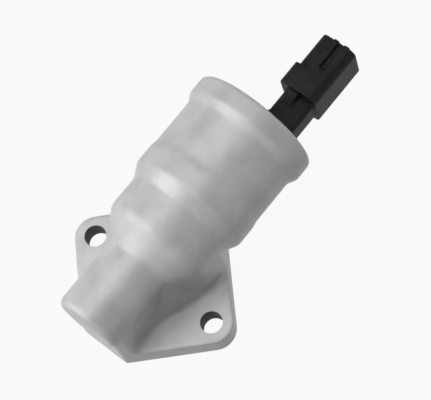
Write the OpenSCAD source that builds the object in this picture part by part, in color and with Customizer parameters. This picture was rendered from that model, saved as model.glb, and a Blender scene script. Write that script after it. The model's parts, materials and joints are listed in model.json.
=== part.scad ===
// Idle air control valve: a die-cast body with a two-bolt flange, a linear
// solenoid in its barrel and a sprung poppet between its two air ports.
// The mounting face lies on z = 0 with the two bolts on the Y axis. The valve
// axis runs along +X, from the blind snout to the connector.

/* [Flange] */
// Distance between the two bolt holes
bolt_spacing = 46; // [42:0.5:54]
// Diameter of the bolt holes
bolt_hole_d = 6.8; // [6:0.1:8]
// Radius of the flange corner round each bolt hole
ear_r = 6.5; // [5.5:0.25:8]
// Thickness of the flange
flange_t = 7; // [6:0.25:9]
// Distance from the bolt line to each cut-off corner of the flange
flange_reach = 24; // [23.5:0.25:25]

/* [Cast body] */
// Height of the valve axis over the mounting face
axis_h = 23.6; // [22:0.2:27]
// Outer diameter of the snout
snout_d = 21.2; // [20:0.2:23]
// Distance from the bolt line to the end of the snout
snout_reach = 25; // [24.6:0.2:29]
// Radius round the closed end of the snout
snout_round = 2.2; // [1:0.1:3]
// Thickness of the closed end of the snout
snout_end_wall = 3; // [2:0.25:4]
// Wall round the air passage in the snout
snout_wall = 3; // [2.4:0.1:3.4]
// Outer diameter at the small end of the shoulder
shoulder_d = 25; // [24:0.2:26.4]
// Outer diameter where the shoulder changes slope
shoulder_mid_d = 27; // [26.6:0.2:29]
// Outer diameter of the neck
neck_d = 33.6; // [33:0.2:35]
// Distance by which the raised band below the barrel stands out over it
band_rise = 0.4; // [0.2:0.1:1]
// Length of the raised band
band_len = 6.9; // [5:0.1:10]
// Outer diameter of the barrel
barrel_d = 37.6; // [37:0.2:38.2]
// Wall of the barrel round the coil
barrel_wall = 2.5; // [2.2:0.1:2.8]
// Distance by which the lip at the open end stands out over the barrel
lip_rise = 1.5; // [1.2:0.1:2.6]
// Length of the lip
lip_len = 6.2; // [6:0.2:8]
// Thickness of the lip's edge that is rolled over the head
roll_t = 1.5; // [1:0.1:2]
// Reach of the rolled edge over the head
roll_reach = 2.1; // [1.2:0.1:2.6]

/* [Air passages] */
// Length of the port under the snout
inlet_len = 13; // [11:0.5:13.5]
// Width of the port under the snout
inlet_w = 13; // [11:0.5:14]
// Length of the port under the neck
outlet_len = 12; // [10:0.5:12.5]
// Width of the port under the neck
outlet_w = 16; // [13:0.5:17]
// Bore of the valve chamber in the neck
chamber_d = 26.6; // [25:0.2:27.4]
// Outer diameter of the valve seat
seat_d = 17.6; // [17:0.2:18.4]
// Width of the valve seat's ring between its bore and its outside
seat_wall = 2.6; // [2.2:0.1:3.2]
// Thickness of the valve seat
seat_t = 2.6; // [2:0.2:3]
// Width of the rubber seal in the mounting face
seal_w = 2.4; // [1.8:0.1:2.6]
// Depth of the groove for the seal
seal_depth = 2; // [1.5:0.1:3]

/* [Moving valve] */
// Travel of the poppet from closed to fully open
stroke = 2.8; // [1.5:0.1:3.2]
// Diameter of the shaft
shaft_d = 3; // [2.5:0.1:3.2]
// How far the poppet reaches over the bore of the seat
poppet_lap = 2.2; // [1.7:0.1:2.6]
// Thickness of the rubber ring on the poppet
facing_t = 1.2; // [0.8:0.1:1.6]
// Diameter of the armature
armature_d = 10.4; // [9.6:0.1:10.8]
// Length of the armature
armature_len = 11; // [10:0.25:12]
// Wire of the return spring
return_wire = 0.9; // [0.7:0.05:1.1]
// Turns of the return spring
return_turns = 6; // [5:1:8]
// Wire of the balance spring
balance_wire = 0.5; // [0.4:0.05:0.6]
// Turns of the balance spring
balance_turns = 4; // [3:1:5]

/* [Solenoid] */
// Length of the coil former
former_len = 19.6; // [19:0.2:20.4]
// Thickness of the walls of the coil former
former_wall = 1; // [0.8:0.1:1.3]
// Thickness of the two flux plates
plate_t = 2.5; // [2:0.1:2.6]
// Thickness of the steel sleeve round the coil
sleeve_t = 1.2; // [0.8:0.1:1.5]
// Thickness of the wall of the tube round the armature
tube_t = 0.5; // [0.4:0.1:0.8]
// Thickness of the guide plate under the solenoid
guide_t = 3; // [2.5:0.1:3.5]
// Diameter of the guide plate
guide_d = 29.6; // [29:0.2:30.4]
// Outer diameter of the two shaft bushes
bush_d = 5.2; // [4.8:0.1:5.6]
// Length of the two shaft bushes
bush_len = 5; // [4.5:0.25:5.5]
// Thickness of the brass shim that stops the armature
shim_t = 0.3; // [0.2:0.05:0.6]

/* [Connector head] */
// Section diameter of the O-ring under the head
o_ring_wire = 1.8; // [1.5:0.1:2]
// Height of the cone on top of the head over the rolled edge
cone_h = 5.2; // [3:0.1:6]
// Distance of the connector from the valve axis, along -Y
connector_offset = 7.2; // [6:0.1:7.6]
// Distance from the rim of the lip to the socket shell
stem_len = 12.1; // [9:0.1:16]
// Width of the stem between the head and the socket
stem_w = 10.3; // [9.6:0.1:11]
// Depth of the stem, square to the flange
stem_depth = 8; // [6.5:0.1:9.5]
// Length of the socket shell
shell_len = 19.7; // [18:0.1:23]
// Width of the socket shell
shell_w = 12; // [11.6:0.1:13]
// Depth of the socket shell, square to the flange
shell_depth = 13.5; // [12.8:0.1:15]
// Wall of the socket shell
shell_wall = 1.3; // [1:0.1:1.5]
// Depth of the socket
socket_len = 14; // [12:0.25:15]
// Width of each guide rail on the shell
rail_w = 1.9; // [1.5:0.1:2.2]
// Distance between the guide rails, centre to centre
rail_pitch = 3.8; // [3.4:0.1:4.4]
// Height of the guide rails
rail_h = 1.2; // [0.8:0.1:1.6]
// Length of the latch block between the rails
latch_len = 8.5; // [6:0.1:10]
// Length of the keying collar at the foot of the shell
collar_len = 7.6; // [5:0.1:10]
// Thickness of the keying collar
collar_t = 1; // [0.6:0.1:1.4]
// Width of each contact blade
blade_w = 2; // [1.6:0.1:2.2]
// Thickness of each contact blade
blade_t = 0.8; // [0.6:0.1:1]
// Distance between the contact blades
blade_pitch = 4.4; // [4:0.1:4.8]
// Distance from the valve axis to the two leads of the coil
lead_offset = 8.8; // [8.4:0.1:9.4]
// Distance between the two leads
lead_pitch = 3; // [2.6:0.1:3.2]

/* [Hidden] */

$fn = 72;
// Overshoot that lets a cut run clear of the face it opens
cut = 1;
// Overlap that welds one cast form into the next
weld = 0.03;
// Radial clearance of the shaft in its bushes and the armature in its tube
run_gap = 0.05;
// Clearance of a piece that drops into its seat
drop_gap = 0.1;

// Stations along the valve axis, counted from the bolt line
snout_end_x = -snout_reach;
snout_floor_x = snout_end_x + snout_end_wall;
shoulder_foot_x = -4.6;
shoulder_x = -2.6;
shoulder_mid_x = 0.8;
neck_x = 7.2;
taper_x = 17.2;
taper_len = 4.5;
band_x = taper_x + taper_len;
band_end_x = band_x + band_len;
band_step = 1;
lip_foot_len = 2.7;
guide_x = 19.4;
pocket_x = guide_x + guide_t;
former_x = pocket_x + plate_t;
former_end_x = former_x + former_len;
pocket_end_x = former_end_x + plate_t;
head_flange_x = pocket_end_x + o_ring_wire;
head_flange_t = 3.6;
roll_x = head_flange_x + head_flange_t;
rim_x = roll_x + roll_t;
lip_x = rim_x - lip_len;
lip_foot_x = lip_x - lip_foot_len;
lip_round = 1.3;

// Outer radii of the band and the lip
band_r = barrel_d / 2 + band_rise;
lip_r = barrel_d / 2 + lip_rise;

// Bores of the body
seat_bore_d = seat_d - 2 * seat_wall;
seat_back = 1.4;
throat_step = 0.6;
pocket_r = barrel_d / 2 - barrel_wall;
lip_bore_r = pocket_r + o_ring_wire - 0.2;
roll_r = lip_bore_r - roll_reach;
snout_bore_r = snout_d / 2 - snout_wall;
throat_r = seat_bore_d / 2 + 0.8;
chamber_foot_r = seat_d / 2 + 1.1;
chamber_foot_len = 7;

// Ports and seal in the mounting face
port_round = 5;
inlet_x = -6;
outlet_x = 6.5;
seal_land = 1.8;
seal_recess = 0.05;

// Moving valve, at rest on its seat
bush_bore_r = shaft_d / 2 + run_gap;
guide_boss_len = 2;
guide_boss_r = bush_d / 2 + 1.4;
poppet_r = seat_bore_d / 2 + poppet_lap;
poppet_x = facing_t;
poppet_disc_t = 1.6;
poppet_hub_wall = 2.2;
poppet_hub_r = shaft_d / 2 + poppet_hub_wall;
poppet_hub_len = 5.2;
nose_len = 3;
nose_foot_r = seat_bore_d / 2 - 1;
nose_tip_r = shaft_d / 2 + 1.5;
nose_x = poppet_x - nose_len;
clip_t = 0.6;
clip_r = shaft_d / 2 + 1.5;
clip_groove = 0.3;
shaft_tip = 1;
shaft_x = nose_x - clip_t - shaft_tip;
armature_x = former_x;
armature_end_x = armature_x + armature_len;
core_x = armature_end_x + stroke + shim_t;
core_bush_x = core_x + 1.5;
core_bush_end_x = core_bush_x + bush_len;
shaft_end_x = core_bush_end_x - stroke;
vent_end_x = core_bush_end_x + 0.6;
spring_seat_x = poppet_x + poppet_disc_t;
return_r = guide_boss_r + return_wire / 2 + 0.3;
balance_r = bush_d / 2 + balance_wire / 2 + 0.2;
balance_pocket_r = balance_r + balance_wire / 2 + 0.3;
balance_pocket_len = 3.5;
balance_x = armature_end_x - balance_pocket_len;

// Solenoid
tube_bore_r = armature_d / 2 + 2 * run_gap;
tube_r = tube_bore_r + tube_t;
former_bore_r = tube_r + drop_gap;
former_r = former_bore_r + former_wall;
flux_r = pocket_r - drop_gap;
sleeve_bore_r = flux_r - sleeve_t;
former_flange_r = sleeve_bore_r - drop_gap;
winding_r = former_flange_r - 0.8;

// Connector
lead_w = 0.8;
lead_slot_gap = 0.5;
blade_root_x = head_flange_x + 1;
blade_foot_t = 1;
shell_x = rim_x + stem_len;
shell_end_x = shell_x + shell_len;
socket_x = shell_end_x - socket_len;
blade_recess = 4;
blade_end_x = shell_end_x - blade_recess;
rail_offset = -1.2;
rail_start = 1.7;
shell_round = 2;
stem_round = 1.5;
socket_round = 1;
gusset_len = 5;
collar_drop = 2;

// Points along an arc, for rounding the corners of an outline
function arc(centre, r, from, to, steps = 6) = [
    for (i = [0 : steps])
        let (a = from + (to - from) * i / steps)
            centre + r * [cos(a), sin(a)]
];

// Outlines of the body from the snout to the lip, as [radius, station]
function snout_nose() = arc(
    [snout_d / 2 - snout_round, snout_end_x + snout_round], snout_round, -90, 0
);

function shoulder_profile() = [
    [snout_d / 2, shoulder_foot_x],
    [shoulder_d / 2 - 0.8, shoulder_foot_x + 0.9],
    [shoulder_d / 2, shoulder_x],
    [shoulder_mid_d / 2, shoulder_mid_x],
    [neck_d / 2, neck_x],
    [neck_d / 2, taper_x]
];

function barrel_profile() = concat(
    [
        [band_r, band_x],
        [band_r, band_end_x],
        [barrel_d / 2, band_end_x + band_step],
        [barrel_d / 2, lip_foot_x],
        [lip_r - 0.3, lip_x - 0.5],
        [lip_r, lip_x]
    ],
    arc([lip_r - lip_round, rim_x - lip_round], lip_round, 0, 90)
);

// Profile of everything that is bored out along the valve axis
function bore_profile() = [
    [0, snout_floor_x],
    [snout_bore_r, snout_floor_x],
    [snout_bore_r, -seat_t - seat_back - throat_step],
    [throat_r, -seat_t - seat_back],
    [throat_r, -seat_t],
    [seat_d / 2, -seat_t],
    [seat_d / 2, 0],
    [chamber_foot_r, 0],
    [chamber_d / 2, chamber_foot_len],
    [chamber_d / 2, guide_x],
    [guide_d / 2, guide_x],
    [guide_d / 2, pocket_x],
    [pocket_r, pocket_x],
    [pocket_r, pocket_end_x],
    [lip_bore_r, pocket_end_x],
    [lip_bore_r, roll_x],
    [roll_r, roll_x],
    [roll_r, rim_x + cut],
    [0, rim_x + cut]
];

// Turns a [radius, station] outline round the valve axis
module on_axis(points) {
    translate([0, 0, axis_h])
        rotate([0, 90, 0])
            rotate_extrude()
                polygon(points);
}

// A turned ring between two radii and two stations
module ring(inner_r, outer_r, from_x, to_x) {
    on_axis([
        [inner_r, from_x], [outer_r, from_x],
        [outer_r, to_x], [inner_r, to_x]
    ]);
}

// A flat outline with four equal round corners, centred on the origin
module rounded(size, r) {
    square([size.x - 2 * r, size.y], center = true);
    square([size.x, size.y - 2 * r], center = true);
    for (sx = [-1, 1], sy = [-1, 1])
        translate([sx * (size.x / 2 - r), sy * (size.y / 2 - r)])
            circle(r = r);
}

// A bar along X whose section across Y and Z has round corners
module bar(from_x, to_x, y, z, width, depth, r) {
    translate([from_x, y, z])
        rotate([90, 0, 90])
            linear_extrude(height = to_x - from_x)
                rounded([width, depth], r);
}

// A helical spring along the valve axis with one closed turn at each end
module spring(r, wire, turns, from_x, to_x, sides = 8, steps = 18) {
    start = from_x + wire / 2;
    length = to_x - from_x - wire;
    pitch = (length - 2 * wire) / turns;
    rings = (turns + 2) * steps;
    along = function (t)
        t < 1 ? t * wire
        : t > turns + 1 ? wire + turns * pitch + (t - turns - 1) * wire
        : wire + (t - 1) * pitch;
    points = [
        for (i = [0 : rings], k = [0 : sides - 1])
            let (
                t = i / steps,
                turn = 360 * t,
                around = 360 * k / sides,
                reach = r + wire / 2 * cos(around)
            )
                [reach * cos(turn), reach * sin(turn),
                 start + along(t) + wire / 2 * sin(around)]
    ];
    walls = [
        for (i = [0 : rings - 1], k = [0 : sides - 1])
            let (a = i * sides + k, b = i * sides + (k + 1) % sides)
                [a, b, b + sides, a + sides]
    ];
    ends = [
        [for (k = [sides - 1 : -1 : 0]) k],
        [for (k = [0 : sides - 1]) rings * sides + k]
    ];
    translate([0, 0, axis_h])
        rotate([0, 90, 0])
            polyhedron(points, concat(walls, ends), convexity = 10);
}

// Flat outline of the flange: a square on its corner, cut off at both ends of
// the valve axis and rounded about both bolt holes
module flange_outline(inset = 0) {
    edge_r = ear_r - weld - inset;
    reach = flange_reach - inset;
    corner = bolt_spacing / 2 + edge_r * sqrt(2);
    tangent = edge_r / sqrt(2);
    side = corner - reach;
    polygon([
        [reach, side], [tangent, bolt_spacing / 2 + tangent],
        [-tangent, bolt_spacing / 2 + tangent], [-reach, side],
        [-reach, -side], [-tangent, -bolt_spacing / 2 - tangent],
        [tangent, -bolt_spacing / 2 - tangent], [reach, -side]
    ]);
    for (s = [-1, 1])
        translate([0, s * bolt_spacing / 2])
            circle(r = ear_r - inset);
}

// Plan outline of a wall on both sides of the valve axis, from the outline
// [radius, station] of one side, grown by an allowance
function wall_outline(profile, grow) =
    let (
        side = [for (p = profile) [p.y, p.x]],
        last = len(side) - 1,
        grown = [
            for (i = [0 : last])
                let (
                    ahead = side[min(i + 1, last)] - side[max(i - 1, 0)],
                    out = [-ahead.y, ahead.x] / norm(ahead)
                )
                    side[i] + grow * out
        ]
    )
        concat(grown, [for (i = [last : -1 : 0]) [grown[i].x, -grown[i].y]]);

module body_walls() {
    intersection() {
        translate([0, 0, weld])
            linear_extrude(height = axis_h)
                polygon(wall_outline(
                    concat(snout_nose(), shoulder_profile()), -weld
                ));
        translate([0, 0, weld])
            linear_extrude(height = axis_h)
                flange_outline(weld);
    }
}

// The two ports, as flat outlines grown by an allowance
module inlet_outline(grow = 0) {
    translate([inlet_x - inlet_len / 2, 0])
        rounded([inlet_len + 2 * grow, inlet_w + 2 * grow], port_round + grow);
}

module outlet_outline(grow = 0) {
    translate([outlet_x + outlet_len / 2, 0])
        rounded([outlet_len + 2 * grow, outlet_w + 2 * grow], port_round + grow);
}

// The seal runs round both ports, with a link between the two loops
module seal_outline() {
    difference() {
        union() {
            inlet_outline(seal_land + seal_w);
            outlet_outline(seal_land + seal_w);
            translate([inlet_x, -seal_w / 2])
                square([outlet_x - inlet_x, seal_w]);
        }
        inlet_outline(seal_land);
        outlet_outline(seal_land);
    }
}

module bolt_holes() {
    for (s = [-1, 1])
        translate([0, s * bolt_spacing / 2, -cut])
            cylinder(d = bolt_hole_d, h = flange_t + 2 * cut);
}

module housing() {
    color("silver")
        difference() {
            union() {
                linear_extrude(height = flange_t)
                    flange_outline();
                body_walls();
                on_axis(concat(
                    [[0, snout_end_x]], snout_nose(), shoulder_profile(),
                    barrel_profile(), [[0, rim_x]]
                ));
            }
            on_axis(bore_profile());
            translate([0, 0, -cut])
                linear_extrude(height = axis_h + cut) {
                    inlet_outline();
                    outlet_outline();
                }
            translate([0, 0, -cut])
                linear_extrude(height = seal_depth + cut)
                    seal_outline();
            bolt_holes();
        }
}

module flange_seal() {
    color("dimgray")
        translate([0, 0, seal_recess])
            linear_extrude(height = seal_depth - seal_recess)
                seal_outline();
}

module valve_seat() {
    lead = 0.5;
    color("darkgoldenrod")
        on_axis([
            [seat_bore_d / 2, -seat_t + lead],
            [seat_bore_d / 2 + lead, -seat_t],
            [seat_d / 2, -seat_t],
            [seat_d / 2, 0],
            [seat_bore_d / 2, 0]
        ]);
}

// Plate that closes the valve chamber, carries the front bush and seats the
// return spring
module guide_plate() {
    color("slategray")
        on_axis([
            [bush_d / 2, guide_x - guide_boss_len],
            [guide_boss_r, guide_x - guide_boss_len],
            [guide_boss_r, guide_x],
            [guide_d / 2, guide_x],
            [guide_d / 2, pocket_x],
            [bush_d / 2, pocket_x]
        ]);
}

module guide_bush() {
    color("peru")
        ring(bush_bore_r, bush_d / 2, pocket_x - bush_len, pocket_x);
}

module lower_flux_plate() {
    color("gray")
        ring(tube_r, flux_r, pocket_x, former_x);
}

module flux_sleeve() {
    color("gray")
        ring(sleeve_bore_r, flux_r, former_x, former_end_x);
}

// The upper plate has a slot for the two leads of the coil
module upper_flux_plate() {
    slot_w = lead_pitch + lead_w + 2 * lead_slot_gap;
    slot_depth = blade_t + 2 * lead_slot_gap;
    color("gray")
        difference() {
            ring(tube_r, flux_r, former_end_x, pocket_end_x);
            bar(former_end_x - cut, pocket_end_x + cut, -lead_offset, axis_h,
                slot_w, slot_depth, slot_depth / 2 - 0.1);
        }
}

module coil_former() {
    color("ivory")
        on_axis([
            [former_bore_r, former_x],
            [former_flange_r, former_x],
            [former_flange_r, former_x + former_wall],
            [former_r, former_x + former_wall],
            [former_r, former_end_x - former_wall],
            [former_flange_r, former_end_x - former_wall],
            [former_flange_r, former_end_x],
            [former_bore_r, former_end_x]
        ]);
}

module coil_winding() {
    color("chocolate")
        ring(former_r, winding_r, former_x + former_wall,
            former_end_x - former_wall);
}

module armature_tube() {
    color("goldenrod")
        ring(tube_bore_r, tube_r, pocket_x, former_end_x);
}

// Steel core that pulls the armature: it plugs the tube and holds the rear bush
module fixed_core() {
    color("darkgray")
        on_axis([
            [balance_pocket_r, core_x],
            [tube_bore_r, core_x],
            [tube_bore_r, former_end_x],
            [tube_r, former_end_x],
            [tube_r, pocket_end_x],
            [0, pocket_end_x],
            [0, vent_end_x],
            [shaft_d / 2 + 0.4, vent_end_x],
            [shaft_d / 2 + 0.4, core_bush_end_x],
            [bush_d / 2, core_bush_end_x],
            [bush_d / 2, core_bush_x],
            [balance_pocket_r, core_bush_x]
        ]);
}

module core_bush() {
    color("peru")
        ring(bush_bore_r, bush_d / 2, core_bush_x, core_bush_end_x);
}

module stop_shim() {
    color("gold")
        ring(balance_pocket_r, tube_bore_r, core_x - shim_t, core_x);
}

module head_o_ring() {
    color("black")
        translate([pocket_end_x + o_ring_wire / 2, 0, axis_h])
            rotate([0, 90, 0])
                rotate_extrude()
                    translate([lip_bore_r - o_ring_wire / 2, 0])
                        circle(d = o_ring_wire, $fn = 32);
}

// Moulded disc under the rolled lip, with its spigot and low cone
module head_disc() {
    spigot_r = lip_bore_r - o_ring_wire;
    cone_r = roll_r - drop_gap;
    on_axis([
        [0, pocket_end_x],
        [spigot_r, pocket_end_x],
        [spigot_r, head_flange_x],
        [lip_bore_r - drop_gap, head_flange_x],
        [lip_bore_r - drop_gap, roll_x],
        [cone_r, roll_x],
        [1.5, rim_x + cone_h],
        [0, rim_x + cone_h + 0.2]
    ]);
}

// Stem and socket shell of the connector, with its rails and keying collar
module connector_body() {
    y = -connector_offset;
    front = axis_h + shell_depth / 2;
    rail_y = y + rail_offset;
    bar(head_flange_x, shell_x + cut, y, axis_h, stem_w, stem_depth, stem_round);
    bar(shell_x, shell_end_x, y, axis_h, shell_w, shell_depth, shell_round);
    for (s = [-1, 1])
        translate([shell_x + rail_start, rail_y + s * rail_pitch / 2 - rail_w / 2,
            front - cut])
            cube([shell_len - rail_start, rail_w, rail_h + cut]);
    translate([shell_x + rail_start, rail_y - rail_pitch / 2, front - cut])
        rotate([90, 0, 0])
            mirror([0, 0, 1])
                linear_extrude(height = rail_pitch)
                    polygon([
                        [0, 0], [latch_len, 0], [latch_len, cut],
                        [latch_len - 1.2, cut + rail_h], [0, cut + rail_h]
                    ]);
    keying_collar(y, rail_y + rail_pitch / 2);
    stem_gusset(y);
}

// Collar that wraps the side of the shell away from the bolt hole it faces
module keying_collar(y, inner_y) {
    side_y = y + shell_w / 2 + collar_t;
    top_z = axis_h + shell_depth / 2 + collar_t;
    foot_z = axis_h - collar_drop;
    translate([shell_x, inner_y, foot_z])
        cube([collar_len, side_y - inner_y - shell_round, top_z - foot_z]);
    translate([shell_x, inner_y, foot_z])
        cube([collar_len, side_y - inner_y, top_z - foot_z - shell_round]);
    translate([shell_x, side_y - shell_round, top_z - shell_round])
        rotate([0, 90, 0])
            cylinder(r = shell_round, h = collar_len);
}

// Web that carries the front of the shell on the stem
module stem_gusset(y) {
    rise = (shell_depth - stem_depth) / 2;
    translate([shell_x - gusset_len, y + stem_w / 2 - stem_round,
        axis_h + stem_depth / 2 - cut])
        rotate([90, 0, 0])
            linear_extrude(height = stem_w / 2 - stem_round)
                polygon([
                    [0, 0], [gusset_len + cut, 0],
                    [gusset_len + cut, rise + cut], [0, cut]
                ]);
}

module connector_head() {
    color([0.12, 0.12, 0.13])
        difference() {
            union() {
                head_disc();
                connector_body();
            }
            bar(socket_x, shell_end_x + cut, -connector_offset, axis_h,
                shell_w - 2 * shell_wall, shell_depth - 2 * shell_wall,
                socket_round);
            blade(-1);
            blade(1);
        }
}

// One flat contact moulded into the head: its lead comes up from the coil, and
// a cross foot carries the blade, which has a chamfered tip
module blade(side) {
    tip = 0.5;
    blade_y = side * blade_pitch / 2 - connector_offset;
    lead_y = side * lead_pitch / 2 - lead_offset;
    foot_low = min(blade_y - blade_w / 2, lead_y - lead_w / 2);
    foot_high = max(blade_y + blade_w / 2, lead_y + lead_w / 2);
    translate([0, 0, axis_h - blade_t / 2])
        linear_extrude(height = blade_t) {
            translate([former_end_x, lead_y - lead_w / 2])
                square([blade_root_x + blade_foot_t - former_end_x, lead_w]);
            translate([blade_root_x, foot_low])
                square([blade_foot_t, foot_high - foot_low]);
            translate([0, blade_y])
                polygon([
                    [blade_root_x, -blade_w / 2],
                    [blade_end_x - tip, -blade_w / 2],
                    [blade_end_x, -blade_w / 2 + tip],
                    [blade_end_x, blade_w / 2 - tip],
                    [blade_end_x - tip, blade_w / 2],
                    [blade_root_x, blade_w / 2]
                ]);
        }
}

module contact_blade_a() {
    color("gainsboro")
        blade(-1);
}

module contact_blade_b() {
    color("gainsboro")
        blade(1);
}

module armature() {
    color("lightsteelblue")
        on_axis([
            [shaft_d / 2, armature_x],
            [armature_d / 2, armature_x],
            [armature_d / 2, armature_end_x],
            [balance_pocket_r, armature_end_x],
            [balance_pocket_r, balance_x],
            [shaft_d / 2, balance_x]
        ]);
}

module valve_shaft() {
    groove_r = shaft_d / 2 - clip_groove;
    color("whitesmoke")
        on_axis([
            [0, shaft_x],
            [shaft_d / 2 - 0.3, shaft_x],
            [shaft_d / 2, shaft_x + 0.3],
            [shaft_d / 2, nose_x - clip_t],
            [groove_r, nose_x - clip_t],
            [groove_r, nose_x],
            [shaft_d / 2, nose_x],
            [shaft_d / 2, shaft_end_x - 0.3],
            [shaft_d / 2 - 0.3, shaft_end_x],
            [0, shaft_end_x]
        ]);
}

// Poppet with a tapered nose that meters the air through the seat
module poppet() {
    color("lightgray")
        on_axis([
            [shaft_d / 2, nose_x],
            [nose_tip_r, nose_x],
            [nose_foot_r, 0],
            [nose_foot_r, poppet_x],
            [poppet_r, poppet_x],
            [poppet_r, spring_seat_x],
            [poppet_hub_r, spring_seat_x],
            [poppet_hub_r, spring_seat_x + poppet_hub_len],
            [shaft_d / 2, spring_seat_x + poppet_hub_len]
        ]);
}

module poppet_facing() {
    color("black")
        ring(nose_foot_r, poppet_r - 0.2, 0, poppet_x);
}

module poppet_clip() {
    color("dimgray")
        ring(shaft_d / 2 - clip_groove, clip_r, nose_x - clip_t, nose_x);
}

module return_spring() {
    color("silver")
        spring(return_r, return_wire, return_turns, spring_seat_x, guide_x);
}

module balance_spring() {
    color("silver")
        spring(balance_r, balance_wire, balance_turns, balance_x, core_bush_x,
            sides = 6, steps = 14);
}

housing();
flange_seal();
valve_seat();
guide_plate();
guide_bush();
lower_flux_plate();
flux_sleeve();
upper_flux_plate();
coil_former();
coil_winding();
armature_tube();
fixed_core();
core_bush();
stop_shim();
connector_head();
head_o_ring();
contact_blade_a();
contact_blade_b();
armature();
valve_shaft();
poppet();
poppet_facing();
poppet_clip();
return_spring();
balance_spring();
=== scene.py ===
import json
import math

import bpy
from bpy.props import FloatProperty, FloatVectorProperty, IntProperty, PointerProperty
from mathutils import Matrix, Vector


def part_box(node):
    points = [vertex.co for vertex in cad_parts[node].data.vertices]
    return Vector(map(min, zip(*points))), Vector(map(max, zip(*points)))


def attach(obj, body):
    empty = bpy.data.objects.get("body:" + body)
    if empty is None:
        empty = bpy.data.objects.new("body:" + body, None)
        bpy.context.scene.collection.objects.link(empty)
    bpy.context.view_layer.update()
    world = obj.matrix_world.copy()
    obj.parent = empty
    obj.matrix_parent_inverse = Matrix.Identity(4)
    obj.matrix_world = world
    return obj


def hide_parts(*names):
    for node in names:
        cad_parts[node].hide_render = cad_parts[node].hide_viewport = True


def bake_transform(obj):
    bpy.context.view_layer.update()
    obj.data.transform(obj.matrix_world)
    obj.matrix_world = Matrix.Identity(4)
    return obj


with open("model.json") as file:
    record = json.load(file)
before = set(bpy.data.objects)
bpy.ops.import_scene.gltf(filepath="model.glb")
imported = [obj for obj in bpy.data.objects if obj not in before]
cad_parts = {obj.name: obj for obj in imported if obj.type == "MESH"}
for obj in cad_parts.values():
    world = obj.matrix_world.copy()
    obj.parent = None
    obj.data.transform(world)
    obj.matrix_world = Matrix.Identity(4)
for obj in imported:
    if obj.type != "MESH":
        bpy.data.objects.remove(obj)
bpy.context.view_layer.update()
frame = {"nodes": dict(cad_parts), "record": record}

bl_info = {
    "name": "Idle Air Valve",
    "version": (1, 0, 0),
    "blender": (4, 5, 0),
    "location": "View3D > Sidebar > Valve",
    "description": "Dresses an idle air control valve with its casting, moulding, springs and finishes",
    "category": "Object",
}

MM = 0.001
BODY = "body"

# Height of the valve axis over the mounting face, in metres and in millimetres
AXIS_Z = (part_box("coil_former")[0].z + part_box("coil_former")[1].z) / 2
AXIS_H = AXIS_Z / MM

# Points of a mesh that lie closer than this are merged, in metres
MERGE = 0.001 * MM
# Share of the way to the middle of its neighbours that one smoothing pass moves a point
SOFTEN_SHARE = 0.5
# Length by which blanks and cutters run past the face where they end, in millimetres
PAST = 1
# Distance from a plane or a bore within which a face's centre counts as on it, in millimetres
ON_FACE = 0.02
# Over the first share an edge runs along an axis, and under the second a normal lies across it
ALONG = 0.9
ACROSS = 0.5


class CastingSizes(bpy.types.PropertyGroup):
    """Sizes of the cast body that the finish adds to the model."""

    voxel: FloatProperty(
        name="Surface step", description="Size of the facets of the cast skin",
        default=0.45 * MM, unit="LENGTH", precision=5,
    )
    soften: IntProperty(
        name="Soften", description="Passes that round the cast edges and corners", default=7,
    )
    foot_spread: FloatProperty(
        name="Foot fillet", description="How far the foot of the walls spreads over the flange",
        default=2.3 * MM, unit="LENGTH", precision=5,
    )


class MouldingSizes(bpy.types.PropertyGroup):
    """Sizes of the moulded connector head that the finish adds."""

    voxel: FloatProperty(
        name="Surface step", description="Size of the facets of the moulded skin",
        default=0.26 * MM, unit="LENGTH", precision=5,
    )
    soften: IntProperty(
        name="Soften", description="Passes that round the moulded edges", default=8,
    )


class FinishColours(bpy.types.PropertyGroup):
    """Base colours of the finishes."""

    casting: FloatVectorProperty(
        name="Cast aluminium", description="Colour of the cast skin",
        subtype="COLOR", size=3, min=0, max=1, default=(0.66, 0.66, 0.66),
    )
    nylon: FloatVectorProperty(
        name="Black nylon", description="Colour of the connector head",
        subtype="COLOR", size=3, min=0, max=1, default=(0.017, 0.017, 0.018),
    )


class StudioSettings(bpy.types.PropertyGroup):
    """The camera's place and the level of the lights."""

    aim: FloatVectorProperty(
        name="Aim", description="Point on the height of the valve axis that the camera looks at",
        subtype="TRANSLATION", size=3, default=(27.21 * MM, -5.95 * MM, AXIS_Z),
    )
    azimuth: FloatProperty(
        name="Azimuth", description="Turn of the camera round the upright",
        default=math.radians(-27.03), subtype="ANGLE",
    )
    elevation: FloatProperty(
        name="Elevation", description="Height of the camera over the horizon",
        default=math.radians(66.74), subtype="ANGLE",
    )
    roll: FloatProperty(
        name="Roll", description="Turn of the camera about its line of sight",
        default=math.radians(-25.42), subtype="ANGLE",
    )
    distance: FloatProperty(
        name="Distance", description="Distance from the camera to its aim",
        default=551.9 * MM, unit="LENGTH",
    )
    lens: FloatProperty(
        name="Lens", description="Focal length in millimetres", default=158.4,
    )
    world: FloatProperty(
        name="World", description="Strength of the light from all round", default=0.01,
    )


def clear_selection():
    """Leaves edit mode and selects nothing."""
    if bpy.context.object and bpy.context.object.mode != "OBJECT":
        bpy.ops.object.mode_set(mode="OBJECT")
    bpy.ops.object.select_all(action="DESELECT")


def pick(piece):
    """Makes one object the only selected and active one."""
    clear_selection()
    piece.select_set(True)
    bpy.context.view_layer.objects.active = piece


def settle(piece, name):
    """Names a finished piece and puts its place into its mesh."""
    pick(piece)
    bpy.ops.object.transform_apply(location=True, rotation=True, scale=True)
    piece.name = name
    piece.data.name = name
    return piece


def join(pieces):
    """Joins several objects into the first one."""
    clear_selection()
    for piece in pieces:
        piece.select_set(True)
    bpy.context.view_layer.objects.active = pieces[0]
    bpy.ops.object.join()
    return pieces[0]


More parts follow.
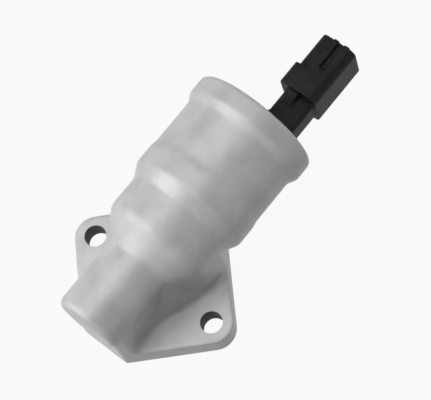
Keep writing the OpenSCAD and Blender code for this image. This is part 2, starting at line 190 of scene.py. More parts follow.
def apply_modifier(piece, name, kind, **settings):
    """Adds a modifier with its settings and applies it."""
    pick(piece)
    modifier = piece.modifiers.new(name, kind)
    for key, value in settings.items():
        setattr(modifier, key, value)
    bpy.ops.object.modifier_apply(modifier=modifier.name)


def unite(piece, other):
    """Adds another solid to a piece."""
    apply_modifier(piece, "Add", "BOOLEAN", operation="UNION", object=other, solver="MANIFOLD")
    bpy.data.objects.remove(other, do_unlink=True)
    return piece


def carve(piece, *cutters):
    """Cuts other solids out of a piece and removes them."""
    for cutter in cutters:
        apply_modifier(
            piece, "Cut", "BOOLEAN", operation="DIFFERENCE", object=cutter, solver="MANIFOLD",
        )
        bpy.data.objects.remove(cutter, do_unlink=True)
    return piece


def recalculate(piece):
    """Points a closed piece's faces outwards."""
    pick(piece)
    bpy.ops.object.mode_set(mode="EDIT")
    bpy.ops.mesh.select_all(action="SELECT")
    bpy.ops.mesh.remove_doubles(threshold=MERGE)
    bpy.ops.mesh.normals_make_consistent(inside=False)
    bpy.ops.object.mode_set(mode="OBJECT")


def smooth(piece, degrees):
    """Shades a piece smooth except over sharp edges."""
    pick(piece)
    bpy.ops.object.shade_smooth_by_angle(angle=math.radians(degrees))


def turned(stations, sides=96):
    """Turns a solid on the valve axis through pairs of station and radius in millimetres."""
    clear_selection()
    start, radius = stations[0]
    bpy.ops.mesh.primitive_circle_add(
        vertices=sides, radius=radius * MM, fill_type="NGON",
        location=(start * MM, 0, AXIS_Z), rotation=(0, math.pi / 2, 0),
    )
    piece = bpy.context.object
    bpy.ops.object.mode_set(mode="EDIT")
    bpy.ops.mesh.select_all(action="SELECT")
    for (was_x, was_r), (x, r) in zip(stations, stations[1:]):
        bpy.ops.mesh.extrude_region_move(
            TRANSFORM_OT_translate={"value": ((x - was_x) * MM, 0, 0)},
        )
        bpy.ops.transform.resize(
            value=(1, r / was_r, r / was_r), center_override=(x * MM, 0, AXIS_Z),
        )
    bpy.ops.object.mode_set(mode="OBJECT")
    bpy.ops.object.transform_apply(location=True, rotation=True, scale=True)
    recalculate(piece)
    return piece


def arc(station, radius, size, start, end):
    """Points of an arc for a turned outline, as pairs of station and radius."""
    points = []
    for step in range(ARC_STEPS + 1):
        angle = math.radians(start + (end - start) * step / ARC_STEPS)
        points.append((station + size * math.sin(angle), radius + size * math.cos(angle)))
    return points


def block(low, high, corner=0):
    """A block between two corners in millimetres, its upright edges rounded to a radius."""
    clear_selection()
    centre = [(a + b) / 2 * MM for a, b in zip(low, high)]
    bpy.ops.mesh.primitive_cube_add(size=1, location=centre)
    piece = bpy.context.object
    piece.scale = [(b - a) * MM for a, b in zip(low, high)]
    bpy.ops.object.transform_apply(location=True, rotation=True, scale=True)
    if corner:
        select_edges(piece, lambda a, b: abs((a - b).normalized().z) > ALONG)
        bpy.ops.mesh.bevel(offset=corner * MM, segments=CORNER_STEPS, affect="EDGES")
        bpy.ops.object.mode_set(mode="OBJECT")
    return piece


def select_edges(piece, wanted):
    """Enters edit mode with the edges selected whose two ends pass a test."""
    pick(piece)
    bpy.ops.object.mode_set(mode="EDIT")
    bpy.ops.mesh.select_mode(type="EDGE")
    bpy.ops.mesh.select_all(action="DESELECT")
    bpy.ops.object.mode_set(mode="OBJECT")
    for edge in piece.data.edges:
        ends = [piece.data.vertices[i].co for i in edge.vertices]
        edge.select = wanted(*ends)
    bpy.ops.object.mode_set(mode="EDIT")


def select_faces(piece, wanted):
    """Enters edit mode with the faces selected that pass a test."""
    pick(piece)
    bpy.ops.object.mode_set(mode="EDIT")
    bpy.ops.mesh.select_mode(type="FACE")
    bpy.ops.mesh.select_all(action="DESELECT")
    bpy.ops.object.mode_set(mode="OBJECT")
    for face in piece.data.polygons:
        face.select = wanted(face)
    bpy.ops.object.mode_set(mode="EDIT")


# Outline of the cast body, in millimetres, with stations along the valve axis from the snout to the rim
BOLT_SPACING = 46
BOLT_HOLE_R = 3.4
EAR_R = 6.5
FLANGE_T = 7
FLANGE_REACH = 24
SNOUT_R = 10.6
SNOUT_END = -25
SNOUT_ROUND = 2.2
NECK_R = 16.8
BAND_R = 19.2
BARREL_R = 18.8
LIP_R = 20.3
LIP_ROUND = 1.3
RIM = 53.9

# Steps of an arc in an outline or at the walls' foot, of the flange's ears and of the ports' corners
ARC_STEPS = 5
EAR_STEPS = 14
CORNER_STEPS = 8
# Sides of the turned skin and of a bolt hole
SKIN_SIDES = 120
HOLE_SIDES = 64

# Depth of the walls' foot in the flange, length of the blank under it, and half width that it widens
FOOT_SINK = 0.3
FOOT_TAIL = 1.5
FOOT_HALF_W = 0.9 * NECK_R
# Height of the plate that trims the walls to the flange's outline
TRIM_H = 60
# Outline of the web under the shoulder, by station and radius, and the widening of its foot
WEB_PROFILE = ((-21, 8.3), (-11, 8.4), (-6, 9.4), (-1, 11), (6.4, 13.1), (22, 13.1))
WEB_FLARE = 1.25
# Everything under the mounting face, as two corners
UNDER_FACE = ((-60, -60, -20), (90, 60, 0))


def outer_profile():
    """Stations and radii of the casting from the snout to the rim."""
    nose = arc(SNOUT_END + SNOUT_ROUND, SNOUT_R - SNOUT_ROUND, SNOUT_ROUND, -90, 0)
    shoulder = [
        (-2.3, SNOUT_R), (-1.5, SNOUT_R + 0.15), (-0.8, 11.2), (5.2, 15.7), (6.4, 16.4), (7.8, NECK_R),
        (17.2, NECK_R),
    ]
    barrel = [
        (21.4, BAND_R - 0.15), (22, BAND_R), (27.8, BAND_R), (30.4, BARREL_R), (44.6, BARREL_R),
        (45.2, BARREL_R + 0.1), (47.2, LIP_R - 0.3), (47.8, LIP_R),
    ]
    rim = arc(RIM - LIP_ROUND, LIP_R - LIP_ROUND, LIP_ROUND, 0, 90)
    return nose + shoulder + barrel + rim


def flange_blank(top=FLANGE_T):
    """The square plate on its corner, rounded about the bolts and cut off along the axis."""
    corner = BOLT_SPACING / 2 + EAR_R * math.sqrt(2)
    half = corner / math.sqrt(2)
    plate = block((-half, -half, -PAST), (half, half, top))
    plate.rotation_euler.z = math.radians(45)
    bpy.ops.object.transform_apply(location=True, rotation=True, scale=True)
    select_edges(plate, lambda a, b: abs(a.x) < MM and abs(b.x) < MM and abs(a.z - b.z) > MM)
    bpy.ops.mesh.bevel(offset=EAR_R * MM, segments=EAR_STEPS, affect="EDGES")
    for side in (-1, 1):
        bpy.ops.mesh.select_all(action="SELECT")
        bpy.ops.mesh.bisect(
            plane_co=(side * FLANGE_REACH * MM, 0, 0), plane_no=(side, 0, 0),
            use_fill=True, clear_outer=True,
        )
    bpy.ops.object.mode_set(mode="OBJECT")
    recalculate(plate)
    return plate


def wall_blank(body, spread, flare=1.0):
    """The walls under the body: its outline in plan, drawn down, flared and spread at its foot."""
    pick(body)
    bpy.ops.object.duplicate()
    wall = bpy.context.object
    bpy.ops.object.mode_set(mode="EDIT")
    for place, normal in (((0, 0, AXIS_Z), (0, 0, 1)), ((FLANGE_REACH * MM, 0, 0), (1, 0, 0))):
        bpy.ops.mesh.select_all(action="SELECT")
        bpy.ops.mesh.bisect(plane_co=place, plane_no=normal, use_fill=True, clear_outer=True)
    bpy.ops.object.mode_set(mode="OBJECT")
    select_faces(wall, lambda face: face.center.z < AXIS_Z - ON_FACE * MM)
    bpy.ops.mesh.delete(type="FACE")
    bpy.ops.mesh.select_all(action="SELECT")
    foot = (FLANGE_T - FOOT_SINK) * MM
    levels = [(foot + spread, flare)]
    for step in range(1, ARC_STEPS + 1):
        angle = math.radians(90 * step / ARC_STEPS)
        height = foot + spread * (1 - math.sin(angle))
        widen = flare + (1 - math.cos(angle)) * spread / (FOOT_HALF_W * MM)
        levels.append((height, widen))
    levels.append((foot - FOOT_TAIL * MM, levels[-1][1]))
    was_z, was_wide = AXIS_Z, 1.0
    for z, wide in levels:
        bpy.ops.mesh.extrude_region_move(TRANSFORM_OT_translate={"value": (0, 0, z - was_z)})
        ratio = wide / was_wide
        bpy.ops.transform.resize(value=(1, ratio, 1), center_override=(0, 0, z))
        was_z, was_wide = z, wide
    bpy.ops.object.mode_set(mode="OBJECT")
    recalculate(wall)
    over_flange = flange_blank(TRIM_H)
    apply_modifier(
        wall, "Clip", "BOOLEAN", operation="INTERSECT", object=over_flange, solver="MANIFOLD",
    )
    bpy.data.objects.remove(over_flange, do_unlink=True)
    return wall


# Radii of the bores along the valve axis, in millimetres
SNOUT_BORE_R = 7.6
SEAT_HOLE_R = 7
SEAT_R = 8.8
CHAMBER_FOOT_R = 9.9
CHAMBER_R = 13.3
GUIDE_R = 14.8
COIL_BORE_R = 16.3
HEAD_BORE_R = 17.9
MOUTH_R = 15.8
# Stations where the wider bores start, and the station past which all bores show a machined finish
GUIDE_X = 19.4
COIL_BORE_X = 22.4
HEAD_BORE_X = 47
MOUTH_X = 52.4
MACHINED_X = 19


def bore_cutter():
    """Everything bored out along the valve axis, from the snout to the rolled edge."""
    return turned([
        (-22, SNOUT_BORE_R), (-4.6, SNOUT_BORE_R), (-4, SEAT_HOLE_R), (-2.6, SEAT_HOLE_R),
        (-2.6, SEAT_R), (0, SEAT_R), (0, CHAMBER_FOOT_R), (7, CHAMBER_R),
        (GUIDE_X, CHAMBER_R), (GUIDE_X, GUIDE_R), (COIL_BORE_X, GUIDE_R), (COIL_BORE_X, COIL_BORE_R),
        (HEAD_BORE_X, COIL_BORE_R), (HEAD_BORE_X, HEAD_BORE_R), (MOUTH_X, HEAD_BORE_R),
        (MOUTH_X, MOUTH_R), (53.3, MOUTH_R), (53.7, MOUTH_R + 0.2), (54.4, MOUTH_R + 1),
    ])


# Low x, high x and half width of each port, and the radius of its corners, in millimetres
INLET = (-19, -6, 6.5)
OUTLET = (6.5, 18.5, 8)
PORT_CORNER = 5
# Distance of the seal's groove from a port, its width and its depth, in millimetres
SEAL_LAND = 1.8
SEAL_W = 2.4
SEAL_DEPTH = 2
# Reach of the bolt holes' cutters, in millimetres
DRILL_LOW = -5
DRILL_HIGH = FLANGE_T + 8


def port_cutter(low_x, high_x, half_y, grow=0, top=AXIS_H):
    """An upright cutter with the round corners of a port, grown by an allowance."""
    low = (low_x - grow, -half_y - grow, -PAST)
    high = (high_x + grow, half_y + grow, top)
    return block(low, high, PORT_CORNER + grow)


def groove_cutters():
    """The groove round each port and the link between them."""
    cutters = []
    for port in (INLET, OUTLET):
        ring = port_cutter(*port, grow=SEAL_LAND + SEAL_W, top=SEAL_DEPTH)
        inner = port_cutter(*port, grow=SEAL_LAND, top=SEAL_DEPTH + PAST)
        inner.location.z = -PAST / 2 * MM
        carve(ring, inner)
        cutters.append(ring)
    link_low = INLET[1] + SEAL_LAND + SEAL_W / 2
    link_high = OUTLET[0] - SEAL_LAND - SEAL_W / 2
    cutters.append(block((link_low, -SEAL_W / 2, -PAST), (link_high, SEAL_W / 2, SEAL_DEPTH)))
    return cutters


def bolt_cutter(side):
    """The rod that cuts the bolt hole on one side of the flange."""
    clear_selection()
    bpy.ops.mesh.primitive_cylinder_add(
        vertices=HOLE_SIDES, radius=BOLT_HOLE_R * MM, depth=(DRILL_HIGH - DRILL_LOW) * MM,
        location=(0, side * BOLT_SPACING / 2 * MM, (DRILL_LOW + DRILL_HIGH) / 2 * MM),
    )
    piece = bpy.context.object
    bpy.ops.object.transform_apply(location=True, rotation=True, scale=True)
    return piece


def dress_casting(casting):
    """Gives the skin, the cut faces and bores, and the bolt holes' walls (near black, painted shade)
    their finishes.
    """
    casting.data.materials.clear()
    for name in ("cast_aluminium", "machined_aluminium", "drilled_wall_painted_shade"):
        casting.data.materials.append(finish(name))
    machined, shaded_drill_wall = 1, 2
    for face in casting.data.polygons:
        centre, normal = face.center, face.normal
        inward = normal.y * centre.y + normal.z * (centre.z - AXIS_Z) < 0
        bored = inward and centre.x > MACHINED_X * MM and abs(normal.x) < ACROSS
        from_bolt = math.hypot(centre.x, abs(centre.y) - BOLT_SPACING / 2 * MM)
        # The walls of the bolt holes get the near-black colour that paints the shade in them.
        if from_bolt < (BOLT_HOLE_R + ON_FACE) * MM and abs(normal.z) < ACROSS:
            face.material_index = shaded_drill_wall
        elif centre.z < ON_FACE * MM or bored:
            face.material_index = machined


class VALVE_OT_casting(bpy.types.Operator):
    """Models the cast body with its fillets, bores, ports and bolt holes"""

    bl_idname = "valve.casting"
    bl_label = "Cast body"

    def execute(self, context):
        sizes = context.scene.valve_casting
        body = turned(outer_profile(), SKIN_SIDES)
        wall = wall_blank(body, sizes.foot_spread)
        core = turned(WEB_PROFILE)
        web = wall_blank(core, sizes.foot_spread, WEB_FLARE)
        casting = join([body, wall, core, web, flange_blank()])
        apply_modifier(casting, "Skin", "REMESH", mode="VOXEL", voxel_size=sizes.voxel)
        apply_modifier(casting, "Soften", "SMOOTH", factor=SOFTEN_SHARE, iterations=sizes.soften)
        carve(casting, block(*UNDER_FACE))
        carve(casting, bore_cutter())
        carve(casting, port_cutter(*INLET), port_cutter(*OUTLET))
        carve(casting, *groove_cutters())
        for side in (-1, 1):
            carve(casting, bolt_cutter(side))
        settle(casting, "cast_body")
        smooth(casting, degrees=32)
        dress_casting(casting)
        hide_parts("housing")
        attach(casting, BODY)
        return {"FINISHED"}


def copy_of(node):
    """A merged copy of a model node's mesh."""
    clear_selection()
    source = frame["nodes"][node]
    piece = source.copy()
    piece.data = source.data.copy()
    piece.parent = None
    piece.matrix_world = Matrix.Identity(4)
    bpy.context.collection.objects.link(piece)
    pick(piece)
    bpy.ops.object.mode_set(mode="EDIT")
    bpy.ops.mesh.select_all(action="SELECT")
    bpy.ops.mesh.remove_doubles(threshold=MERGE)
    bpy.ops.object.mode_set(mode="OBJECT")
    return piece


# Stem, socket and rails of the head, in millimetres, with the middle of the stem and of the rails
HEAD_Y = -7.2
STEM_W = 10.3
STEM_DEPTH = 8
STEM_TOP = AXIS_H + STEM_DEPTH / 2
SHELL_X = 66
SHELL_DEPTH = 13.5
SHELL_TOP = AXIS_H + SHELL_DEPTH / 2
RAIL_Y = HEAD_Y - 1.2
RAIL_REACH = 2.85
RAIL_H = 1.2
# Length of the block in front of the rails
FOOT_BLOCK_L = 2
# Depth of the recess in the socket's foot, its reach past the stem's side, and the wall left over it
RECESS_DEPTH = 3.2
RECESS_SIDE = 0.2
ROOF = 0.8
# Heights over the rim between which the cone is cut off
CONE_LOW = 2.6
CONE_HIGH = 6
# Half width and top of a cutter that covers the head
HEAD_REACH = 30
HEAD_TOP = 50


def cone_cutters():
    """Four blocks round the stem that take the top off the cone of the head."""
    low, high = RIM + CONE_LOW, RIM + CONE_HIGH
    side = STEM_W / 2
    return (
        block((low, HEAD_Y + side, 0), (high, HEAD_REACH, HEAD_TOP)),
        block((low, -HEAD_REACH, 0), (high, HEAD_Y - side, HEAD_TOP)),
        block((low, -HEAD_REACH, STEM_TOP), (high, HEAD_REACH, HEAD_TOP)),
        block((low, -HEAD_REACH, 0), (high, HEAD_REACH, AXIS_H - STEM_DEPTH / 2)),
    )


def foot_block():
    """The block that carries the rails forward to the foot of the socket."""
    return block(
        (SHELL_X, RAIL_Y - RAIL_REACH, SHELL_TOP - PAST),
        (SHELL_X + FOOT_BLOCK_L, RAIL_Y + RAIL_REACH, SHELL_TOP + RAIL_H),
    )


def foot_recess():
    """The hollow in the foot of the socket, over the stem and beside its gusset."""
    low, high = SHELL_X - PAST, SHELL_X + RECESS_DEPTH
    stem_side = HEAD_Y - STEM_W / 2 - RECESS_SIDE
    rail_side = RAIL_Y - RAIL_REACH + ROOF
    return (
        block((low, stem_side, STEM_TOP), (high, HEAD_Y, SHELL_TOP - ROOF)),
        block((low, rail_side, STEM_TOP), (high, HEAD_Y, SHELL_TOP + RAIL_H - ROOF)),
    )


class VALVE_OT_head(bpy.types.Operator):
    """Models the moulded head with its stem, socket, rails and latch"""

    bl_idname = "valve.head"
    bl_label = "Connector head"

    def execute(self, context):
        sizes = context.scene.valve_moulding
        head = copy_of("connector_head")
        unite(head, foot_block())
        carve(head, *cone_cutters(), *foot_recess())
        apply_modifier(head, "Skin", "REMESH", mode="VOXEL", voxel_size=sizes.voxel)
        apply_modifier(head, "Soften", "SMOOTH", factor=SOFTEN_SHARE, iterations=sizes.soften)
        settle(head, "moulded_head")
        smooth(head, degrees=40)
        head.data.materials.clear()
        head.data.materials.append(finish("black_nylon"))
        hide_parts("connector_head")
        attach(head, BODY)
        return {"FINISHED"}


# Sides of the springs' wire, and steps of one turn
WIRE_SIDES = 12
TURN_STEPS = 28
# Node, wire in millimetres and number of open turns of each spring
SPRINGS = (("return_spring", 0.9, 6), ("balance_spring", 0.5, 4))


def coil_stretch(radius, wire, turns, start, pitch):
    """Whole turns of wire wound on the valve axis at one pitch."""
    clear_selection()
    bpy.ops.mesh.primitive_circle_add(
        vertices=WIRE_SIDES, radius=wire / 2 * MM, fill_type="NOTHING",
        location=(start * MM, 0, AXIS_Z),
    )
    piece = bpy.context.object
    bpy.ops.object.mode_set(mode="EDIT")
    bpy.ops.transform.translate(value=(0, radius * MM, 0))
    bpy.ops.object.mode_set(mode="OBJECT")
    apply_modifier(
        piece, "Wind", "SCREW", axis="X", screw_offset=pitch * MM, iterations=turns,
        steps=TURN_STEPS, render_steps=TURN_STEPS, use_merge_vertices=False, use_smooth_shade=True,
    )
    return piece


def spring(name, radius, wire, turns, start, end, home):
    """A compression spring with a closed turn at each end, squeezed between its two seats."""
    first = start + wire / 2
    # Two closed turns and half a wire at each end leave the rest to the open turns
    pitch = (end - start - 3 * wire) / turns
    coil = join([
        coil_stretch(radius, wire, 1, first, wire),
        coil_stretch(radius, wire, turns, first + wire, pitch),
        coil_stretch(radius, wire, 1, first + wire + turns * pitch, wire),
    ])
    recalculate(coil)
    bpy.ops.object.mode_set(mode="EDIT")
    bpy.ops.mesh.select_all(action="SELECT")
    bpy.ops.mesh.fill_holes(sides=0)
    bpy.ops.mesh.normals_make_consistent(inside=False)
    bpy.ops.object.mode_set(mode="OBJECT")
    settle(coil, name)
    smooth(coil, degrees=50)
    coil.data.materials.append(finish("spring_steel"))
    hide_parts(home)
    return coil


class VALVE_OT_springs(bpy.types.Operator):
    """Winds the return spring and the balance spring"""

    bl_idname = "valve.springs"
    bl_label = "Springs"

    def execute(self, context):
        for home, wire, turns in SPRINGS:
            low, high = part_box(home)
            radius = (high.y - low.y) / 2 / MM - wire / 2
            coil = spring(home + "_coil", radius, wire, turns, low.x / MM, high.x / MM, home)
            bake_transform(coil)
        return {"FINISHED"}


def new_finish(name):
    """A material with its tree and shader."""
    material = bpy.data.materials.new(name)
    material.use_nodes = True
    tree = material.node_tree
    return material, tree, tree.nodes["Principled BSDF"]


def object_space(tree, stretch=(1, 1, 1)):
    """Object coordinates, stretched along the axes."""
    coordinates = tree.nodes.new("ShaderNodeTexCoord")
    mapping = tree.nodes.new("ShaderNodeMapping")
    mapping.inputs["Scale"].default_value = stretch
    tree.links.new(coordinates.outputs["Object"], mapping.inputs["Vector"])
    return mapping.outputs["Vector"]


def grain(tree, per_metre, detail=3, stretch=(1, 1, 1)):
    """A noise over the piece with a number of grains to the metre."""
    noise = tree.nodes.new("ShaderNodeTexNoise")
    noise.inputs["Scale"].default_value = per_metre
    noise.inputs["Detail"].default_value = detail
    tree.links.new(object_space(tree, stretch), noise.inputs["Vector"])
    return noise.outputs["Fac"]


# Values of a noise that are mapped to the ends of a range
NOISE_LOW = 0.35
NOISE_HIGH = 0.65


def spread(tree, value, low, high):
    """Maps a noise to values between low and high."""
    mapped = tree.nodes.new("ShaderNodeMapRange")
    mapped.inputs["From Min"].default_value = NOISE_LOW
    mapped.inputs["From Max"].default_value = NOISE_HIGH
    mapped.inputs["To Min"].default_value = low
    mapped.inputs["To Max"].default_value = high
    tree.links.new(value, mapped.inputs["Value"])
    return mapped.outputs["Result"]


def tint(tree, factor, dark, light):
    """A colour between two, by a noise."""
    mix = tree.nodes.new("ShaderNodeMix")
    mix.data_type = "RGBA"
    tree.links.new(spread(tree, factor, 0, 1), mix.inputs["Factor"])
    mix.inputs["A"].default_value = (*dark, 1)
    mix.inputs["B"].default_value = (*light, 1)
    return mix.outputs["Result"]


def relief(tree, height, depth):
    """A bump whose depth is in metres."""
    bump = tree.nodes.new("ShaderNodeBump")
    bump.inputs["Strength"].default_value = 1
    bump.inputs["Distance"].default_value = depth
    tree.links.new(height, bump.inputs["Height"])
    return bump.outputs["Normal"]


def shade(colour, by):
    """A colour made darker or paler, at most white."""
    return [min(c * by, 1) for c in colour]


# Patches to the metre in the colour of a metal, of a rubber or plastic, and of the casting
METAL_PATCHES = 90
PLASTIC_PATCHES = 120
CAST_PATCHES = 130
# Stretch of a grain into tool marks along the valve axis, and into marks round it
MILLED = (1, 12, 12)
TURNED = (14, 1, 1)


def metal(name, dark, light, rough, per_metre, depth, stretch=(1, 1, 1)):
    """A bare metal with a grain in its colour, roughness and surface."""
    material, tree, shader = new_finish(name)
    shader.inputs["Metallic"].default_value = 1
    broad = grain(tree, METAL_PATCHES)
    fine = grain(tree, per_metre, 4, stretch)
    tree.links.new(tint(tree, broad, dark, light), shader.inputs["Base Color"])
    tree.links.new(spread(tree, fine, *rough), shader.inputs["Roughness"])
    tree.links.new(relief(tree, fine, depth), shader.inputs["Normal"])
    return material


def matte(name, dark, light, roughness, per_metre, depth, shine=0.5):
    """A rubber or plastic with a fine grain."""
    material, tree, shader = new_finish(name)
    broad = grain(tree, PLASTIC_PATCHES)
    fine = grain(tree, per_metre, 4)
    tree.links.new(tint(tree, broad, dark, light), shader.inputs["Base Color"])
    shader.inputs["Roughness"].default_value = roughness
    shader.inputs["Specular IOR Level"].default_value = shine
    tree.links.new(relief(tree, fine, depth), shader.inputs["Normal"])
    return material


def cast_aluminium():
    """Bead-blasted die casting: pale, matt and finely grained."""
    base = bpy.context.scene.valve_colours.casting
    material, tree, shader = new_finish("cast_aluminium")
    shader.inputs["Metallic"].default_value = 0.14
    broad = grain(tree, CAST_PATCHES)
    fine = grain(tree, 2600, 5)
    patches = tint(tree, broad, shade(base, 0.9), shade(base, 1.05))
    tree.links.new(patches, shader.inputs["Base Color"])
    tree.links.new(spread(tree, fine, 0.39, 0.48), shader.inputs["Roughness"])
    tree.links.new(relief(tree, fine, 0.05 * MM), shader.inputs["Normal"])
    return material


def drilled_wall_painted_shade():
    """The rough wall of a drilled bolt hole, coloured near black as painted shade in the hole."""
    # The near-black colour is painted shade: it darkens the bolt hole's wall where shade falls.
    return matte(
        "drilled_wall_painted_shade", (0.07, 0.07, 0.07), (0.12, 0.12, 0.12), roughness=0.7,
        per_metre=1500, depth=0.03 * MM,
    )


def machined_aluminium():
    """Faces and bores cut into the casting."""
    return metal(
        "machined_aluminium", (0.62, 0.62, 0.63), (0.7, 0.7, 0.71), rough=(0.25, 0.36),
        per_metre=900, depth=0.01 * MM, stretch=MILLED,
    )


def turned_aluminium():
    """The poppet's disc, turned from bar."""
    return metal(
        "turned_aluminium", (0.66, 0.66, 0.68), (0.74, 0.74, 0.76), rough=(0.25, 0.36),
        per_metre=300, depth=0.01 * MM, stretch=TURNED,
    )


def seal_rubber():
    """Black rubber of the seals and of the poppet's facing."""
    return matte(
        "seal_rubber", (0.025, 0.025, 0.028), (0.04, 0.04, 0.043), roughness=0.62,
        per_metre=1500, depth=0.02 * MM,
    )


def turned_brass():
    """The seat, the armature's tube and the stop shim."""
    return metal(
        "turned_brass", (0.66, 0.50, 0.22), (0.76, 0.60, 0.30), rough=(0.24, 0.36),
        per_metre=300, depth=0.01 * MM, stretch=TURNED,
    )


def sintered_bronze():
    """The porous bushes of the shaft."""
    return metal(
        "sintered_bronze", (0.40, 0.27, 0.15), (0.55, 0.38, 0.22), rough=(0.5, 0.66),
        per_metre=4000, depth=0.03 * MM,
    )


def plated_steel():
    """Zinc-plated guide plate, flux plates and flux sleeve."""
    return metal(
        "plated_steel", (0.50, 0.51, 0.53), (0.60, 0.61, 0.63), rough=(0.3, 0.42),
        per_metre=1200, depth=0.01 * MM,
    )


def core_steel():
    """The turned steel of the armature and the fixed core."""
    return metal(
        "core_steel", (0.38, 0.39, 0.41), (0.48, 0.49, 0.51), rough=(0.34, 0.46),
        per_metre=300, depth=0.012 * MM, stretch=TURNED,
    )


def stainless_steel():
    """The ground shaft and its clip."""
    return metal(
        "stainless_steel", (0.60, 0.61, 0.62), (0.70, 0.71, 0.72), rough=(0.18, 0.28),
        per_metre=300, depth=0.006 * MM, stretch=TURNED,
    )


def spring_steel():
    """Drawn wire of the springs."""
    return metal(
        "spring_steel", (0.42, 0.42, 0.44), (0.54, 0.54, 0.56), rough=(0.24, 0.36),
        per_metre=2000, depth=0.008 * MM,
    )


def natural_nylon():
    """The cream bobbin of the coil."""
    return matte(
        "natural_nylon", (0.72, 0.68, 0.58), (0.8, 0.76, 0.67), roughness=0.45,
        per_metre=800, depth=0.01 * MM,
    )


def copper_wire():
    """Enamelled wire wound side by side, its turns shown as ridges along the axis, with painted shade
    in the grooves between turns.
    """
    material, tree, shader = new_finish("copper_wire")
    shader.inputs["Metallic"].default_value = 1
    turns = tree.nodes.new("ShaderNodeTexWave")
    turns.bands_direction = "X"
    turns.inputs["Scale"].default_value = 900
    turns.inputs["Distortion"].default_value = 0.4
    tree.links.new(object_space(tree), turns.inputs["Vector"])
    ridges = turns.outputs["Fac"]
    # The enamel colour follows the ridges: darker in the grooves between turns as painted shade, paler
    # on the crowns as painted light.
    enamel_and_painted_shade = tint(tree, ridges, (0.30, 0.10, 0.035), (0.62, 0.27, 0.11))
    tree.links.new(enamel_and_painted_shade, shader.inputs["Base Color"])
    shader.inputs["Roughness"].default_value = 0.3
    tree.links.new(relief(tree, ridges, 0.1 * MM), shader.inputs["Normal"])
    return material


def black_nylon():
    """Glass-filled black nylon with a fine spark-eroded grain."""
    base = bpy.context.scene.valve_colours.nylon
    return matte(
        "black_nylon", shade(base, 0.8), shade(base, 1.5), roughness=0.5,
        per_metre=1400, depth=0.03 * MM, shine=0.18,
    )


def tinned_contact():
    """Tin-plated strip of the two contacts."""
    return metal(
        "tinned_contact", (0.62, 0.62, 0.6), (0.74, 0.74, 0.72), rough=(0.26, 0.36),
        per_metre=900, depth=0.008 * MM,
    )


# Grey of the floor as a lit surface, and the share of plain white that a view of it adds
FLOOR_GREY = 0.25
FLOOR_WHITE = 0.94


def studio_floor():
    """A pale floor that the camera sees nearly white, with the part's shadow on it."""
    material, tree, shader = new_finish("studio_floor")
    shader.inputs["Base Color"].default_value = (FLOOR_GREY, FLOOR_GREY, FLOOR_GREY, 1)
    shader.inputs["Roughness"].default_value = 0.9
    rays = tree.nodes.new("ShaderNodeLightPath")
    seen = rays.outputs["Is Camera Ray"]
    for kind in ("Is Glossy Ray", "Is Transmission Ray"):
        either = tree.nodes.new("ShaderNodeMath")
        either.operation = "MAXIMUM"
        tree.links.new(seen, either.inputs[0])
        tree.links.new(rays.outputs[kind], either.inputs[1])
        seen = either.outputs[0]
    share = tree.nodes.new("ShaderNodeMath")
    share.operation = "MULTIPLY"
    share.inputs[1].default_value = FLOOR_WHITE
    tree.links.new(seen, share.inputs[0])
    white = tree.nodes.new("ShaderNodeEmission")
    mix = tree.nodes.new("ShaderNodeMixShader")
    tree.links.new(share.outputs[0], mix.inputs["Fac"])
    tree.links.new(shader.outputs[0], mix.inputs[1])
    tree.links.new(white.outputs[0], mix.inputs[2])
    tree.links.new(mix.outputs[0], tree.nodes["Material Output"].inputs["Surface"])
    return material


FINISHES = {
    make.__name__: make
    for make in (
        cast_aluminium, machined_aluminium, drilled_wall_painted_shade, turned_aluminium, seal_rubber, turned_brass,
        sintered_bronze, plated_steel, core_steel, stainless_steel, spring_steel, natural_nylon,
        copper_wire, black_nylon, tinned_contact, studio_floor,
    )
}
MADE = {}


def finish(name):
    """One of the finishes, made once and shared by all its pieces."""
    if name not in MADE:
        MADE[name] = FINISHES[name]()
    return MADE[name]


class VALVE_OT_inner_parts(bpy.types.Operator):
    """Gives each part of the model its own finish"""

    bl_idname = "valve.inner_parts"
    bl_label = "Inner parts"

    def execute(self, context):
        for row in frame["record"]["subparts"]:
            for part_slot in frame["nodes"][row["node"]].material_slots:
                part_slot.material = finish(row["material_slot"])
        return {"FINISHED"}


# Size and height of the floor, and radius, height, middle and sides of the ring round it, in metres
FLOOR_SIZE = 6
FLOOR_Z = -0.05 * MM
BACKDROP_R = 2.9
BACKDROP_H = 1.6
BACKDROP_Z = 0.79
BACKDROP_SIDES = 96
# Name of each light, its direction from the valve, distance and width in metres, and watts
LIGHTS = (
    ("key", (-0.66, 0.42, 0.62), 0.6, 0.5, 2.4),
    ("top", (0.0, 0.12, 0.99), 0.6, 0.5, 1.4),
    ("fill", (0.75, -0.35, 0.56), 0.35, 0.3, 0.2),
)
# Width of the camera's sensor in millimetres
SENSOR_W = 36


def set_floor():
    """The floor under the valve and the backdrop that stands round it."""
    clear_selection()
    bpy.ops.mesh.primitive_plane_add(size=FLOOR_SIZE, location=(0, 0, FLOOR_Z))
    floor = settle(bpy.context.object, "floor")
    bpy.ops.mesh.primitive_cylinder_add(
        vertices=BACKDROP_SIDES, radius=BACKDROP_R, depth=BACKDROP_H, end_fill_type="NOTHING",
        location=(0, 0, BACKDROP_Z),
    )
    backdrop = settle(bpy.context.object, "backdrop")
    for piece in (floor, backdrop):
        piece.data.materials.append(finish("studio_floor"))


def set_light(name, towards, distance, width, watts, aim):
    """A square soft light that faces the valve."""
    clear_selection()
    direction = Vector(towards).normalized()
    bpy.ops.object.light_add(type="AREA", location=Vector(aim) + direction * distance)
    light = bpy.context.object
    light.name = name
    light.rotation_euler = direction.to_track_quat("Z", "Y").to_euler()
    light.data.size = width
    light.data.energy = watts


def set_world(strength):
    """A faint, even light from all round."""
    world = bpy.data.worlds.new("studio")
    bpy.context.scene.world = world
    world.use_nodes = True
    background = world.node_tree.nodes["Background"]
    background.inputs["Color"].default_value = (1, 1, 1, 1)
    background.inputs["Strength"].default_value = strength


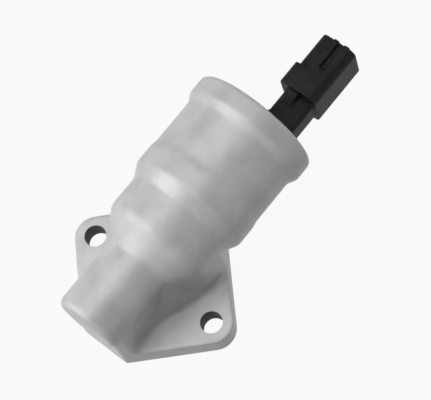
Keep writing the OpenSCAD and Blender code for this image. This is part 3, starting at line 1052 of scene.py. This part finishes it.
def set_camera(studio):
    """The camera at its place, turned about its line of sight."""
    a, e = studio.azimuth, studio.elevation
    back = Vector((math.sin(a) * math.cos(e), -math.cos(a) * math.cos(e), math.sin(e)))
    bpy.ops.object.camera_add(location=Vector(studio.aim) + back * studio.distance)
    camera = bpy.context.object
    camera.rotation_mode = "QUATERNION"
    turn = Matrix.Rotation(studio.roll, 4, "Z")
    camera.rotation_quaternion = (
        back.to_track_quat("Z", "Y").to_matrix().to_4x4() @ turn
    ).to_quaternion()
    camera.data.lens = studio.lens
    camera.data.sensor_width = SENSOR_W
    bpy.context.scene.camera = camera


class VALVE_OT_studio(bpy.types.Operator):
    """Sets the floor, the soft lights and the camera"""

    bl_idname = "valve.studio"
    bl_label = "Studio"

    def execute(self, context):
        studio = context.scene.valve_studio
        set_floor()
        for light in LIGHTS:
            set_light(*light, studio.aim)
        set_world(studio.world)
        set_camera(studio)
        context.scene.view_settings.view_transform = "Standard"
        return {"FINISHED"}


class VALVE_PT_panel(bpy.types.Panel):
    """Lists the valve's pieces in the sidebar"""

    bl_label = "Idle Air Valve"
    bl_idname = "VALVE_PT_panel"
    bl_space_type = "VIEW_3D"
    bl_region_type = "UI"
    bl_category = "Valve"

    def draw(self, context):
        for operator in OPERATORS:
            self.layout.operator(operator.bl_idname)


OPERATORS = (
    VALVE_OT_studio,
    VALVE_OT_inner_parts,
    VALVE_OT_casting,
    VALVE_OT_head,
    VALVE_OT_springs,
)
SETTINGS = {
    "valve_casting": CastingSizes,
    "valve_moulding": MouldingSizes,
    "valve_colours": FinishColours,
    "valve_studio": StudioSettings,
}


def register():
    """Registers the settings, the operators and the panel."""
    for name, group in SETTINGS.items():
        bpy.utils.register_class(group)
        setattr(bpy.types.Scene, name, PointerProperty(type=group))
    for operator in OPERATORS:
        bpy.utils.register_class(operator)
    bpy.utils.register_class(VALVE_PT_panel)


def unregister():
    """Takes everything back that register adds."""
    bpy.utils.unregister_class(VALVE_PT_panel)
    for operator in reversed(OPERATORS):
        bpy.utils.unregister_class(operator)
    for name, group in SETTINGS.items():
        delattr(bpy.types.Scene, name)
        bpy.utils.unregister_class(group)


def main():
    """Builds the studio and every piece."""
    register()
    bpy.ops.valve.studio()
    bpy.ops.valve.inner_parts()
    bpy.ops.valve.casting()
    bpy.ops.valve.head()
    bpy.ops.valve.springs()


if __name__ == "__main__":
    main()
